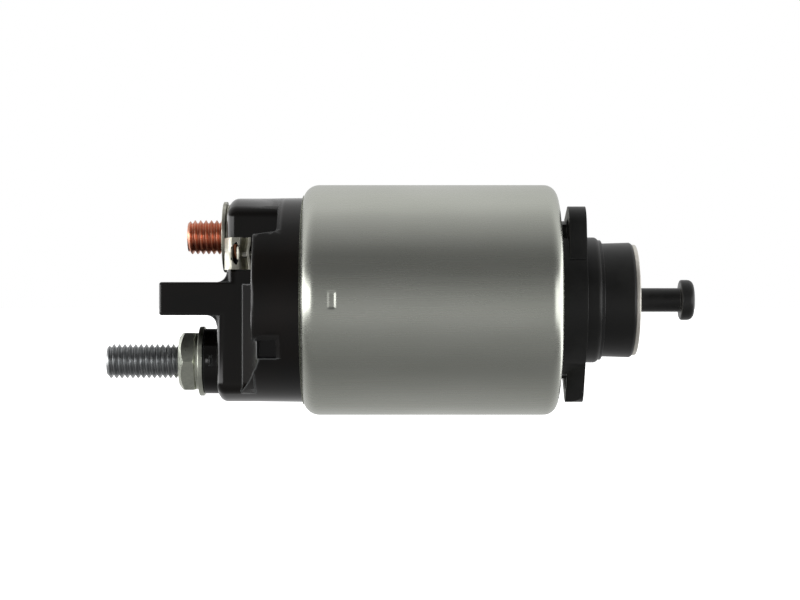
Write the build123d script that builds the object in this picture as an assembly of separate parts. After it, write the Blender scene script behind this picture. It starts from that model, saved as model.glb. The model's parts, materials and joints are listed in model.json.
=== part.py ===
"""Starter solenoid (magnetic switch of a car's starter motor), one STEP file for each physical piece.

Frame: millimetres. The origin is the centre of the flange's mounting face, on the plunger's axis.
+X points out of the flange along the hook pin, +Z is up, and the motor terminal is above the battery terminal.
"""

import math
import os

from build123d import *

# ---------------------------------------------------------------- driving dimensions
CAN_R = 26.5  # outside radius of the drawn steel can
CAN_WALL = 2.5
CAN_X0, CAN_X1 = -64.0, -5.8  # crimped end, flange end
CAN_STEP_X = -53.0  # the bore is wider from here to the crimped end
CAN_STEP_R = 25.0
CAN_MOUTH_R = 23.62  # opening left by the crimped lip
CAN_FLOOR_R = 15.0  # hole in the can's floor, for the flange's spigot
CAN_LIP_T = 1.5  # metal left where the mouth is rolled in
CAN_CRIMP_CORNER, CAN_DRAW_CORNER = 3.7, 3.0  # outside corner radii
STAKE_X0, STAKE_X1, STAKE_HALF, STAKE_DEPTH = -57.9, -55.5, 2.0, 0.7  # locks the plate behind the coil

HUB_R = 18.2  # round middle of the flange
SPIGOT_L = 1.8  # staked into the can's floor
EAR_T = 3.9
EAR_CENTRE_R = 18.2  # distance of each ear's bolt hole from the axis
EAR_TIP_R = 5.4
EAR_ANGLES = (120.0, 262.0, 11.0)  # measured from +Y towards +Z
EAR_ROOT = 30.0  # half angle of each ear where it leaves the hub, degrees
EAR_STEP = 0.25  # the ears' flanks stand this far off the hub
EAR_BEVEL = 2.2  # depth of the ground bevel on the lower ear
EAR_HOLE_R = 2.5  # tapping hole of an M6 thread
EAR_RELIEF_R = 3.4  # clearance in the hub behind each hole, for the bolt's end
COLLAR_R = 14.45
COLLAR_L = 3.8
COLLAR_EDGE = 1.2

SLEEVE_R, SLEEVE_BORE_R = 13.82, 13.30  # thin brass tube that the plunger runs in
SLEEVE_X0, SLEEVE_X1 = -50.0, 4.3

PLUNGER_R = 13.24
PLUNGER_X0, PLUNGER_X1 = -28.6, 11.4
STROKE = 10.0  # travel of the plunger into the coil
RETAINER_R = 12.75
RETAINER_T = 1.0

PIN_R = 2.75
PIN_HEAD_R = 4.64
PIN_HEAD_X0, PIN_HEAD_X1 = 22.7, 25.9
PIN_HEAD_DOME, PIN_HEAD_EDGE = 1.5, 0.5  # rounding of the outer and the inner rim
PIN_FOOT_R = 7.6  # collar inside the plunger that the engagement spring pushes on
PIN_FOOT_T = 2.5
PIN_BORE_R = 8.8  # spring chamber in the plunger
PIN_BORE_X0 = -14.0

CORE_FACE_X = PLUNGER_X0 - STROKE - 0.1
SPRING_BORE_R = 8.4  # pockets of the return spring, in plunger and core
SPRING_POCKET_CORE = 4.0
SPRING_POCKET_PLUNGER_X = -18.0

PLATE_T = 4.0  # steel plate that closes the magnetic circuit behind the coil
PLATE_X0 = CAN_STEP_X - PLATE_T
GASKET_T = 1.0
CAP_FLANGE_X1 = PLATE_X0 - GASKET_T

CAP_R_ROOT, CAP_R_TIP = 23.55, 23.4  # moulded taper of the cap
CAP_RIM_X = -60.3  # outer side of the rim held by the crimp
CAP_TAPER_X = -61.9
CAP_SHOULDER_X = -74.6  # end of the round body
CAP_EDGE = 0.8  # rounding of the shoulder
CAP_CHAMBER_X = -68.5  # floor of the contact chamber
CAP_CHAMBER_R = 19.5
CAP_SPRING_BORE_X, CAP_SPRING_BORE_R = -74.0, 4.6  # blind bore of the contact return spring
BAR_HALF = 11.5  # half width of the raised bar across the cap
BAR_CORNER = 3.0  # rounding of its long edges
BAR_UPPER_X, BAR_LOWER_X = -80.9, -83.2  # seats of the two terminals
BAR_UPPER_EDGE, BAR_LOWER_EDGE = 2.3, 2.0  # rounding of the seats' rims
BARRIER_X = -96.1  # wall between the terminals
BARRIER_Z0, BARRIER_Z1 = -3.45, 4.05
BARRIER_EDGE, BARRIER_ROOT = 0.6, 2.3
BOSS_R = 7.5
BOSS_X = -86.8
RAMP_FOOT, RAMP_TOP = (-77.6, -10.8), (-74.4, -16.8)  # (x, y) of the sloping web beside the bar
RAMP_Z0, RAMP_Z1 = -22.0, 3.6
SLOPE_END, SLOPE_Z = (-70.0, -25.2), -9.0  # the slope that cuts the body below this height
RECESS_X = -69.2  # step in the upper near side of the body
RECESS_Z_IN, RECESS_Z_OUT = 15.3, 14.6  # its lower edge, at the step and at the shoulder
RECESS_CORNER = 0.8
POCKET_X0, POCKET_Z0, POCKET_Z1, POCKET_Y = -73.5, -12.9, -8.8, -13.5
SWITCH_BOSS_X, SWITCH_BOSS_HALF_T, SWITCH_BOSS_HALF_W = -77.4, 2.6, 5.2
MARK_X = -85.0  # small raised mark on the side of the battery boss
SEAL_T, SEAL_R = 1.35, 5.5

MOTOR_Z, BATTERY_Z = 14.5, -14.1  # heights of the two studs
STUD_R = 4.0  # M8, over the thread's crests
STUD_CHAMFER = 0.7
SHANK_R = 3.6  # the same bolt below the seat of its nut, as thick as the blank of a rolled thread
BATTERY_TIP_X = -109.2
MOTOR_TIP_X = -90.6
HEAD_T, HEAD_W, HEAD_H, HEAD_Z = 3.5, 11.0, 9.5, 13.45  # contact heads of the studs
WASHER_T, WASHER_R = 1.1, 8.0
LOCK_T, LOCK_R = 0.8, 6.5
NUT_T, NUT_FLATS = 3.8, 13.0
NUT_FACE_R = 5.9  # flat ring that the outer chamfer leaves
NUT_X1 = BOSS_X - WASHER_T - LOCK_T
LUG_X0, LUG_X1, LUG_R = -82.35, -81.5, 8.15

TAB_T = 0.55  # plated strip of the folded tab
TAB_SEAT_R = 7.4
TAB_Z0, TAB_Z1 = 6.8, 14.0
TAB_PATH = ((-81.2, -3.0), (-81.2, -9.8), (-79.85, -13.0), (-79.85, -15.2), (-77.4, -15.2), (-76.7, -12.9),
            (-75.3, -12.2), (-75.3, -15.2))  # the strip's middle line from above, (x, y)
TAB_EYE_X, TAB_EYE_HALF, TAB_EYE_HIGH = -78.6, 1.2, 2.6

ROD_R = 3.0
CONTACT_TRAVEL = 3.0  # travel of the contact disc to the stud heads
CONTACT_R = 15.4
CONTACT_T = 2.0
CONTACT_FACE_X = CAP_CHAMBER_X + HEAD_T + CONTACT_TRAVEL + 0.05

COIL_X0, COIL_X1 = -52.6, -8.7  # bobbin, end to end
BOBBIN_FLANGE_T = 1.6
BOBBIN_BORE_R, BOBBIN_TUBE_R, BOBBIN_R = 13.95, 15.2, 23.6
PULL_IN_R, HOLD_IN_R, WRAP_R = 19.0, 22.4, 22.9

LEAD_Y, LEAD_Z = -13.2, 10.4  # where the coil's lead leaves the cap
LEAD_R = 0.75
LEAD_X0 = -79.2
BLADE_Y = 17.0  # middle plane of the switch terminal's blade
BLADE_T, BLADE_W = 0.8, 6.3
BLADE_X0 = -86.0
BLADE_END_X = CAP_CHAMBER_X + 2.5  # inner end, where the lead is joined
BLADE_HOLE_X, BLADE_HOLE_R = -82.6, 0.85
GAP = 0.05  # clearance between pieces that only have to fit


# ---------------------------------------------------------------- helpers
def ring(x0, x1, r_out, r_in=0.0, y=0.0, z=0.0):
    """A disc, tube or washer along X, centred at (y, z)."""
    plane = Plane(origin=(x0, y, z), x_dir=(0, 1, 0), z_dir=(1, 0, 0))
    sketch = Circle(r_out)
    if r_in > 0:
        sketch -= Circle(r_in)
    return extrude(plane * sketch, x1 - x0)


def block(x0, x1, y0, y1, z0, z1):
    """A box given by its two corners."""
    centre = Pos((x0 + x1) / 2, (y0 + y1) / 2, (z0 + z1) / 2)
    return centre * Box(x1 - x0, y1 - y0, z1 - z0)


def turned(points):
    """A solid of revolution about the X axis from (x, radius) points."""
    outline = make_face(Polyline(*points, close=True))
    return revolve(outline, Axis.X)


def plan_prism(points, z0, z1):
    """A prism along Z whose outline is a list of (x, y) points."""
    outline = make_face(Polyline(*points, close=True))
    return extrude(Pos(0, 0, z0) * outline, z1 - z0)


def side_prism(points, y0, y1):
    """A prism along Y whose outline is a list of (x, z) points."""
    outline = make_face(Polyline(*points, close=True))
    return extrude(Plane(origin=(0, y1, 0), x_dir=(1, 0, 0), z_dir=(0, -1, 0)) * outline, y1 - y0)


def section_prism(sketch, x0, x1):
    """A prism along X; the sketch's own x is the frame's Y and its y is the frame's Z."""
    return extrude(Plane(origin=(x0, 0, 0), x_dir=(0, 1, 0), z_dir=(1, 0, 0)) * sketch, x1 - x0)


def coil_spring(x0, x1, mean_r, wire_r, turns):
    """A round-wire compression spring along X that fits between the planes x0 and x1."""
    length = x1 - x0 - 2 * wire_r
    path = Helix(pitch=length / turns, height=length, radius=mean_r)
    section = Plane(origin=path @ 0, z_dir=path % 0) * Circle(wire_r)
    spring = sweep(section, path=path)
    return Pos(x0 + wire_r, 0, 0) * Rot(0, 90, 0) * spring


def at_angle(radius, angle):
    """A point in the flange's plane, at an angle from +Y towards +Z."""
    return radius * math.cos(math.radians(angle)), radius * math.sin(math.radians(angle))


# ---------------------------------------------------------------- housing: can and flange
def can():
    """Deep-drawn steel cup; its mouth is rolled in over the cap's flange."""
    outside = ring(CAN_X0, CAN_X1, CAN_R)
    outside = fillet(outside.edges().sort_by(Axis.X)[0], CAN_CRIMP_CORNER)
    outside = fillet(outside.edges().sort_by(Axis.X)[-1], CAN_DRAW_CORNER)
    seat = ring(CAN_X0 + CAN_LIP_T, CAN_STEP_X, CAN_STEP_R)
    seat = fillet(seat.edges().sort_by(Axis.X)[0], CAN_CRIMP_CORNER - CAN_LIP_T)
    bore = ring(CAN_STEP_X - 1, CAN_X1 - CAN_WALL, CAN_R - CAN_WALL)
    bore = fillet(bore.edges().sort_by(Axis.X)[-1], 1.0)
    shell = outside - seat - bore
    shell -= ring(CAN_X0 - 1, CAN_STEP_X, CAN_MOUTH_R)
    shell -= ring(CAN_X1 - CAN_WALL - 1, CAN_X1 + 1, CAN_FLOOR_R)
    # a stake driven in from outside
    stake = block(STAKE_X0, STAKE_X1, -CAN_R - 2, -CAN_R + STAKE_DEPTH, -STAKE_HALF, STAKE_HALF)
    return shell - fillet(stake.edges().filter_by(Axis.Y), 0.9)


def ear_root(angle):
    """Where an ear's flank meets the hub."""
    return at_angle(HUB_R + EAR_STEP, angle)


def ear_sketch(angle):
    """One ear: the hull of its round tip and its root on the hub."""
    tip = Pos(*at_angle(EAR_CENTRE_R, angle)) * Circle(EAR_TIP_R)
    return make_hull(tip.edges() + Line(ear_root(angle + EAR_ROOT), ear_root(angle - EAR_ROOT)).edges())


def lower_ear_bevel():
    """Wedge ground off the lower ear's near flank: nothing at the front, deepest at the back."""
    root = ear_root(EAR_ANGLES[1] - EAR_ROOT)
    centre = at_angle(EAR_CENTRE_R, EAR_ANGLES[1])
    reach = math.degrees(math.acos(EAR_TIP_R / math.dist(root, centre)))
    facing = math.degrees(math.atan2(root[1] - centre[1], root[0] - centre[0])) + reach
    touch = at_angle(EAR_TIP_R, facing)
    along = Vector(0, centre[0] + touch[0] - root[0], centre[1] + touch[1] - root[1]).normalized()
    side = Plane(origin=Vector(0, *root) - along, x_dir=(1, 0, 0), z_dir=along)
    back = -EAR_T - 0.01
    wedge = Polyline((0.1, 0.05), (back, -EAR_BEVEL), (back, 4), (0.1, 4), close=True)
    return extrude(side * make_face(wedge), 13) - ring(-EAR_T - 1, 1, HUB_R)


def mounting_flange():
    """Forged steel front: hub, three tapped ears, locating collar and a spigot staked into the can."""
    outline = Circle(HUB_R)
    for angle in EAR_ANGLES:
        outline += ear_sketch(angle)
    flange = section_prism(outline, -EAR_T, 0)
    flange += ring(CAN_X1, -EAR_T + 0.5, HUB_R)
    for angle in EAR_ANGLES:
        y, z = at_angle(EAR_CENTRE_R, angle)
        flange -= ring(CAN_X1, -EAR_T, EAR_RELIEF_R, 0, y, z)
        flange -= ring(-EAR_T - 0.1, 0.1, EAR_HOLE_R, 0, y, z)
    flange += ring(CAN_X1 - SPIGOT_L, CAN_X1 + 0.5, CAN_FLOOR_R - GAP)
    collar = ring(-1, COLLAR_L, COLLAR_R)
    flange += fillet(collar.edges().sort_by(Axis.X)[-1], COLLAR_EDGE)
    flange -= lower_ear_bevel()
    return flange - ring(CAN_X1 - 4, COLLAR_L + 1, SLEEVE_R + GAP)


def guide_sleeve():
    """Brass liner that keeps the plunger off the iron."""
    return ring(SLEEVE_X0, SLEEVE_X1, SLEEVE_R, SLEEVE_BORE_R)


# ---------------------------------------------------------------- housing: magnetic parts and coil
def back_plate():
    """Steel plate between coil and contact chamber, with holes for the leads."""
    plate = ring(PLATE_X0, CAN_STEP_X, CAN_STEP_R - GAP, 12.0)
    plate -= ring(PLATE_X0 - 1, CAN_STEP_X + 1, LEAD_R + 0.5, 0, LEAD_Y, LEAD_Z)
    plate -= ring(PLATE_X0 - 1, CAN_STEP_X + 1, 1.3, 0, BLADE_Y, 0)
    return plate


def fixed_core():
    """Iron pole that the plunger is pulled against; the contact rod runs through it."""
    core = ring(PLATE_X0, CORE_FACE_X, PLUNGER_R)
    core = chamfer(core.edges().sort_by(Axis.X)[-1], 0.6)
    # the neck sits in the plate's hole
    core -= ring(PLATE_X0 - 1, CAN_STEP_X, PLUNGER_R + 1, 12.0 - 0.03)
    core -= ring(CORE_FACE_X - SPRING_POCKET_CORE, CORE_FACE_X + 1, SPRING_BORE_R)
    core -= ring(PLATE_X0 - 1, -47.0, 6.2)
    core -= ring(-48, CORE_FACE_X, ROD_R + 0.05)
    return core


def coil_bobbin():
    """Moulded spool of the two windings, with notches for the leads."""
    spool = ring(COIL_X0, COIL_X1, BOBBIN_TUBE_R, BOBBIN_BORE_R)
    left = ring(COIL_X0, COIL_X0 + BOBBIN_FLANGE_T, BOBBIN_R, BOBBIN_BORE_R)
    right = ring(COIL_X1 - BOBBIN_FLANGE_T, COIL_X1, BOBBIN_R, BOBBIN_BORE_R)
    spool = spool + left + right
    spool -= ring(COIL_X0 - 1, COIL_X0 + BOBBIN_FLANGE_T + 0.1, 1.4, 0, LEAD_Y, LEAD_Z)
    spool -= ring(COIL_X0 - 1, COIL_X0 + BOBBIN_FLANGE_T + 0.1, 1.4, 0, BLADE_Y, 0)
    return spool


def winding(r_in, r_out):
    """A wound layer between the bobbin's flanges, taken as one solid."""
    margin = BOBBIN_FLANGE_T + 0.1
    return ring(COIL_X0 + margin, COIL_X1 - margin, r_out, r_in)


# ---------------------------------------------------------------- housing: cap
def bar_section():
    """Section of the bar: flat sides, curved ends and rounded corners."""
    section = Rectangle(2 * BAR_HALF, 4 * CAP_R_TIP) & Circle(CAP_R_TIP)
    return fillet(section.vertices(), BAR_CORNER)


def bar_half(seat_x, side, edge):
    """Upper or lower half of the bar, with a rounded rim round its seat."""
    half_plane = Pos(0, side * CAP_R_ROOT) * Rectangle(4 * BAR_HALF, 2 * CAP_R_ROOT)
    half = section_prism(bar_section() & half_plane, seat_x, CAP_SHOULDER_X + 1)
    rim = [e for e in half.edges().group_by(Axis.X)[0] if abs(e.center().Z) > 1]
    return fillet(rim, edge)


def cap_body():
    """Round body with the rim that the can's crimp holds."""
    body = turned([
        (CAP_FLANGE_X1, 0), (CAP_FLANGE_X1, CAN_STEP_R - 0.1), (CAP_RIM_X, CAN_STEP_R - 0.1),
        (CAP_TAPER_X, CAP_R_ROOT), (CAP_SHOULDER_X, CAP_R_TIP), (CAP_SHOULDER_X, 0),
    ])
    return fillet(body.edges().sort_by(Axis.X)[0], CAP_EDGE)


def cap_barrier():
    """Wall between the terminals, rounded at its free end, with rounded roots on the bar."""
    wall = block(BARRIER_X, BAR_UPPER_X + 4, -BAR_HALF, BAR_HALF, BARRIER_Z0, BARRIER_Z1)
    wall = fillet(wall.edges().filter_by(Axis.Y).group_by(Axis.X)[0], BARRIER_EDGE)
    wall = fillet(wall.edges().group_by(Axis.X)[0].filter_by(Axis.Z), BARRIER_EDGE)
    for x, z, side in ((BAR_UPPER_X, BARRIER_Z1, 1), (BAR_LOWER_X, BARRIER_Z0, -1)):
        inner, outer = sorted((z - side * 0.5, z + side * BARRIER_ROOT))
        wedge = block(x - BARRIER_ROOT, x + 2.5, -BAR_HALF + 1, BAR_HALF - 1, inner, outer)
        hollow = Pos(x - BARRIER_ROOT, 0, z + side * BARRIER_ROOT) * Rot(90, 0, 0) * Cylinder(BARRIER_ROOT, 60)
        wall += wedge - hollow
    return wall


def cap_ramp():
    """Sloping web beside the bar, from its front face out to the round body."""
    inner_y = RAMP_FOOT[1] + 0.8
    web = plan_prism([(RAMP_FOOT[0], inner_y), RAMP_FOOT, RAMP_TOP, (RAMP_TOP[0], inner_y)], RAMP_Z0, RAMP_Z1)
    return web & ring(RAMP_FOOT[0] - 1, CAP_SHOULDER_X + 1, CAP_R_TIP)


def cap_recess():
    """Step cut into the upper near side of the body, as deep as the bar's side."""
    far = 2 * CAP_R_ROOT
    slope = (RECESS_Z_IN - RECESS_Z_OUT) / (RECESS_X - CAP_SHOULDER_X)
    low = RECESS_Z_IN - slope * (RECESS_X - BAR_LOWER_X)
    window = side_prism([(RECESS_X, far), (RECESS_X, RECESS_Z_IN), (BAR_LOWER_X, low), (BAR_LOWER_X, far)], -far, 0)
    corner = window.edges().filter_by(Axis.Y).sort_by(lambda e: e.center().Z - e.center().X)[0]
    window = fillet(corner, RECESS_CORNER)
    return window - section_prism(bar_section(), BAR_LOWER_X - 1, RECESS_X + 1)


def cap_hollows():
    """Contact chamber, spring bore, stud holes, seal pockets, and the ways of blade and lead."""
    hollows = ring(CAP_CHAMBER_X, CAP_FLANGE_X1 + 1, CAP_CHAMBER_R)
    hollows += ring(CAP_SPRING_BORE_X, CAP_CHAMBER_X + 1, CAP_SPRING_BORE_R)
    for z in (MOTOR_Z, BATTERY_Z):
        hollows += ring(BOSS_X - 3, CAP_CHAMBER_X + 1, SHANK_R + GAP, 0, 0, z)
        hollows += ring(CAP_CHAMBER_X - SEAL_T - GAP, CAP_CHAMBER_X + 1, SEAL_R + 0.1, 0, 0, z)
    half_t, half_w = BLADE_T / 2 + 0.03, BLADE_W / 2 + 0.03
    hollows += block(-80, CAP_CHAMBER_X + 1, BLADE_Y - half_t, BLADE_Y + half_t, -half_w, half_w)
    return hollows + ring(-80, CAP_CHAMBER_X + 1, LEAD_R + GAP, 0, LEAD_Y, LEAD_Z)


def terminal_cap():
    """Moulded phenolic cap that carries the terminals and covers the contacts."""
    far = 2 * CAP_R_ROOT
    cap = cap_body() + cap_ramp()
    # slope cut into the round body below the shoulder block
    slope = plan_prism([RAMP_FOOT, SLOPE_END, (RAMP_FOOT[0], -30.0)], -far, SLOPE_Z)
    cap -= slope & block(CAP_SHOULDER_X, CAP_TAPER_X, -far, 0, -far, far)
    cap -= cap_recess()
    cap -= block(POCKET_X0, RECESS_X, -far, POCKET_Y, POCKET_Z0, POCKET_Z1)
    cap += bar_half(BAR_UPPER_X, 1, BAR_UPPER_EDGE)
    cap += bar_half(BAR_LOWER_X, -1, BAR_LOWER_EDGE)
    cap += cap_barrier()
    cap += fillet(ring(BOSS_X, BAR_LOWER_X + 1, BOSS_R, 0, 0, BATTERY_Z).edges().sort_by(Axis.X)[0], 0.3)
    # switch terminal's boss on the far side
    boss = block(SWITCH_BOSS_X, CAP_SHOULDER_X + 1, BLADE_Y - SWITCH_BOSS_HALF_T, BLADE_Y + SWITCH_BOSS_HALF_T,
                 -SWITCH_BOSS_HALF_W, SWITCH_BOSS_HALF_W)
    cap += fillet(boss.edges().filter_by(Axis.X), 1.0)
    cap -= cap_hollows()
    return cap + Pos(MARK_X, 0.25 - BOSS_R, BATTERY_Z + 0.2) * scale(Sphere(1), by=(0.4, 0.6, 1.2))


# ---------------------------------------------------------------- housing: terminals
def stud(tip_x, seat_x, z):
    """Contact bolt: threaded end, slimmer shank from the seat inwards and contact head."""
    bolt = ring(tip_x, seat_x, STUD_R, 0, 0, z)
    bolt = chamfer(bolt.edges().sort_by(Axis.X)[0], STUD_CHAMFER)
    bolt += ring(seat_x, CAP_CHAMBER_X + 0.1, SHANK_R, 0, 0, z)
    middle = math.copysign(HEAD_Z, z)
    head = block(CAP_CHAMBER_X, CAP_CHAMBER_X + HEAD_T, -HEAD_W / 2, HEAD_W / 2, middle - HEAD_H / 2,
                 middle + HEAD_H / 2)
    return bolt + fillet(head.edges().filter_by(Axis.X), 1.5)


def stud_seal(z):
    """Rubber ring under a stud's head."""
    return ring(CAP_CHAMBER_X - SEAL_T, CAP_CHAMBER_X - 0.02, SEAL_R, SHANK_R + 0.02, 0, z)


def battery_nut():
    """Thin hexagon nut, chamfered on its outer side, with a corner towards -Y."""
    x0, x1 = NUT_X1 - NUT_T, NUT_X1
    corner_r = NUT_FLATS / math.sqrt(3)
    nut = section_prism(RegularPolygon(corner_r, 6), x0, x1)
    nut &= turned([
        (x0, 0), (x0, NUT_FACE_R), (x0 + 1.1, corner_r + 0.05), (x1 - 0.35, corner_r + 0.05), (x1, corner_r - 0.5),
        (x1, 0),
    ])
    nut -= ring(x0 - 1, x1 + 1, SHANK_R + 0.02)
    return Pos(0, 0, BATTERY_Z) * nut


def lock_washer():
    """Split spring washer, pressed flat."""
    washer = ring(NUT_X1, NUT_X1 + LOCK_T, LOCK_R, STUD_R + 0.1, 0, BATTERY_Z)
    return washer - block(NUT_X1 - 1, NUT_X1 + 2, 0, 12, BATTERY_Z - 0.3, BATTERY_Z + 0.3)


def flat_washer():
    """Plain washer on the battery boss."""
    return ring(BOSS_X - WASHER_T, BOSS_X, WASHER_R, STUD_R + 0.2, 0, BATTERY_Z)


def motor_lug():
    """Round lug plate on the motor stud."""
    return ring(LUG_X0, LUG_X1, LUG_R, STUD_R + 0.1, 0, MOTOR_Z)


def coil_tab():
    """Plated strap under the lug; it bends round the bar's edge and is folded over the coil's lead."""
    strip = Sketch()
    for (xa, ya), (xb, yb) in zip(TAB_PATH, TAB_PATH[1:]):
        run = math.hypot(xb - xa, yb - ya)
        turn = math.degrees(math.atan2(yb - ya, xb - xa))
        strip += Pos((xa + xb) / 2, (ya + yb) / 2) * Rot(0, 0, turn) * SlotCenterToCenter(run, TAB_T)
    strap = extrude(Pos(0, 0, TAB_Z0) * strip, TAB_Z1 - TAB_Z0)
    seat_x = TAB_PATH[0][0]
    strap += ring(seat_x - TAB_T / 2, seat_x + TAB_T / 2, TAB_SEAT_R, 0, 0, MOTOR_Z)
    strap -= ring(seat_x - 2, seat_x + 2, STUD_R + 0.1, 0, 0, MOTOR_Z)
    front_y = TAB_PATH[3][1]
    eye = extrude(Ellipse(TAB_EYE_HALF, TAB_EYE_HIGH), 1.2, both=True)
    strap -= Pos(TAB_EYE_X, front_y, (TAB_Z0 + TAB_Z1) / 2) * Rot(90, 0, 0) * eye
    return strap - ring(-78.0, -74.0, LEAD_R + GAP, 0, LEAD_Y, LEAD_Z)


def coil_lead():
    """Copper end of the windings, from the coil through plate and cap into the folded tab."""
    return ring(LEAD_X0, COIL_X0 + BOBBIN_FLANGE_T, LEAD_R, 0, LEAD_Y, LEAD_Z)


def switch_blade():
    """6.3 mm spade that the ignition switch feeds."""
    half_t, half_w = BLADE_T / 2, BLADE_W / 2
    blade = block(BLADE_X0, BLADE_END_X, BLADE_Y - half_t, BLADE_Y + half_t, -half_w, half_w)
    blade = chamfer(blade.edges().filter_by(Axis.Y).group_by(Axis.X)[0], 0.9)
    return blade - Pos(BLADE_HOLE_X, BLADE_Y, 0) * Rot(90, 0, 0) * Cylinder(BLADE_HOLE_R, 4)


def switch_lead():
    """Wire from the windings to the spade, joined at the spade's inner end."""
    return ring(BLADE_END_X, COIL_X0 + BOBBIN_FLANGE_T, 0.5, 0, BLADE_Y, 0)


# ---------------------------------------------------------------- plunger
def plunger():
    """Steel plunger, hollow at both ends: return spring at the left, engagement spring at the right."""
    body = ring(PLUNGER_X0, PLUNGER_X1, PLUNGER_R)
    body = fillet(body.edges().sort_by(Axis.X)[-1], 0.6)
    body = chamfer(body.edges().sort_by(Axis.X)[0], 0.6)
    body -= ring(PIN_BORE_X0, PLUNGER_X1 + 1, PIN_BORE_R)
    body -= ring(PLUNGER_X0 - 1, SPRING_POCKET_PLUNGER_X, SPRING_BORE_R)
    return body


def plunger_retainer():
    """Pressed disc that closes the spring chamber."""
    disc = ring(PLUNGER_X1, PLUNGER_X1 + RETAINER_T, RETAINER_R)
    disc = chamfer(disc.edges().sort_by(Axis.X)[-1], 0.25)
    disc += ring(PLUNGER_X1 - 1.0, PLUNGER_X1 + 0.5, PIN_BORE_R - 0.02)
    return disc - ring(0, 30, PIN_R + 0.08)


# ---------------------------------------------------------------- hook pin
def hook_pin():
    """Mushroom-headed pin that the shift lever hooks on."""
    foot_x = PIN_BORE_X0 + 0.05
    foot = ring(foot_x, foot_x + PIN_FOOT_T, PIN_FOOT_R)
    shank = ring(foot_x, PIN_HEAD_X0 + 1, PIN_R)
    head = ring(PIN_HEAD_X0, PIN_HEAD_X1, PIN_HEAD_R)
    head = fillet(head.edges().sort_by(Axis.X)[-1], PIN_HEAD_DOME)
    head = fillet(head.edges().sort_by(Axis.X)[0], PIN_HEAD_EDGE)
    return foot + shank + head


def engagement_spring():
    """Spring that lets the plunger close when the pinion meets a tooth."""
    return coil_spring(PIN_BORE_X0 + PIN_FOOT_T + 0.15, PLUNGER_X1 - 1.05, 5.6, 1.0, 6.5)


def return_spring():
    """Spring that pushes the plunger back out."""
    return coil_spring(CORE_FACE_X - SPRING_POCKET_CORE + 0.05, SPRING_POCKET_PLUNGER_X - 0.05, 7.0, 0.75, 5.5)


# ---------------------------------------------------------------- contact assembly
def contact_rod():
    """Stepped rod that the plunger strikes near the end of its stroke."""
    tail_x = CONTACT_FACE_X - 2.65
    rod = ring(tail_x, PLUNGER_X0 + 3.55, ROD_R)
    rod = chamfer(rod.edges().sort_by(Axis.X)[-1], 0.4)
    rod += ring(tail_x - 2.4, tail_x + 0.5, 2.0)
    rod += ring(-49.6, -48.6, 5.6)
    # groove of the clip
    return rod - ring(CONTACT_FACE_X - 1.65, CONTACT_FACE_X - 1.05, ROD_R + 1, 2.4)


def contact_disc():
    """Copper disc that bridges the two stud heads."""
    disc = ring(CONTACT_FACE_X, CONTACT_FACE_X + CONTACT_T, CONTACT_R, 4.3)
    return fillet(disc.edges().filter_by(GeomType.CIRCLE).sort_by(SortBy.RADIUS)[-2:], 0.4)


def insulator(x0, x1, neck_x0, neck_x1, bore_r=ROD_R + 0.03):
    """Insulating washer with a neck inside the contact disc."""
    return ring(x0, x1, 6.0, bore_r) + ring(neck_x0, neck_x1, 4.25, bore_r)


def rod_clip():
    """Open clip in the rod's groove."""
    clip = ring(CONTACT_FACE_X - 1.6, CONTACT_FACE_X - 1.1, 4.6, 2.45)
    return clip - block(-70, -55, 0, 10, -1.6, 1.6)


def spring_seat():
    """Small cup on the rod's tail for the contact return spring."""
    tail_x = CONTACT_FACE_X - 2.65
    return ring(tail_x - 0.55, tail_x - 0.02, 4.2, 2.03)


def contact_spring():
    """Spring that presses the disc onto the stud heads."""
    return coil_spring(CONTACT_FACE_X + CONTACT_T + 1.05, -49.65, 4.5, 0.5, 5)


def contact_return_spring():
    """Spring that opens the contacts again."""
    tail_x = CONTACT_FACE_X - 2.65
    return coil_spring(-73.95, tail_x - 0.6, 3.4, 0.45, 4)


# ---------------------------------------------------------------- write every piece
PIECES = {
    "can": can(),
    "mounting_flange": mounting_flange(),
    "guide_sleeve": guide_sleeve(),
    "fixed_core": fixed_core(),
    "back_plate": back_plate(),
    "coil_bobbin": coil_bobbin(),
    "pull_in_winding": winding(BOBBIN_TUBE_R + 0.05, PULL_IN_R),
    "hold_in_winding": winding(PULL_IN_R + 0.05, HOLD_IN_R),
    "winding_wrap": winding(HOLD_IN_R + 0.05, WRAP_R),
    "cap_gasket": ring(CAP_FLANGE_X1 + 0.02, PLATE_X0 - 0.02, CAN_STEP_R - 0.2, 20.2),
    "terminal_cap": terminal_cap(),
    "battery_stud": stud(BATTERY_TIP_X, NUT_X1 - NUT_T, BATTERY_Z),
    "motor_stud": stud(MOTOR_TIP_X, LUG_X0, MOTOR_Z),
    "battery_stud_seal": stud_seal(BATTERY_Z),
    "motor_stud_seal": stud_seal(MOTOR_Z),
    "flat_washer": flat_washer(),
    "lock_washer": lock_washer(),
    "battery_nut": battery_nut(),
    "motor_lug": motor_lug(),
    "coil_tab": coil_tab(),
    "coil_lead": coil_lead(),
    "switch_blade": switch_blade(),
    "switch_lead": switch_lead(),
    "plunger": plunger(),
    "plunger_retainer": plunger_retainer(),
    "hook_pin": hook_pin(),
    "engagement_spring": engagement_spring(),
    "return_spring": return_spring(),
    "contact_rod": contact_rod(),
    "contact_disc": contact_disc(),
    "disc_insulator_outer": insulator(
        CONTACT_FACE_X - 1.0, CONTACT_FACE_X - 0.02, CONTACT_FACE_X - 0.5, CONTACT_FACE_X + 0.95
    ),
    "disc_insulator_inner": insulator(
        CONTACT_FACE_X + CONTACT_T + 0.02, CONTACT_FACE_X + CONTACT_T + 1.0,
        CONTACT_FACE_X + 1.05, CONTACT_FACE_X + CONTACT_T + 0.5,
    ),
    "rod_clip": rod_clip(),
    "spring_seat": spring_seat(),
    "contact_spring": contact_spring(),
    "contact_return_spring": contact_return_spring(),
}

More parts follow.
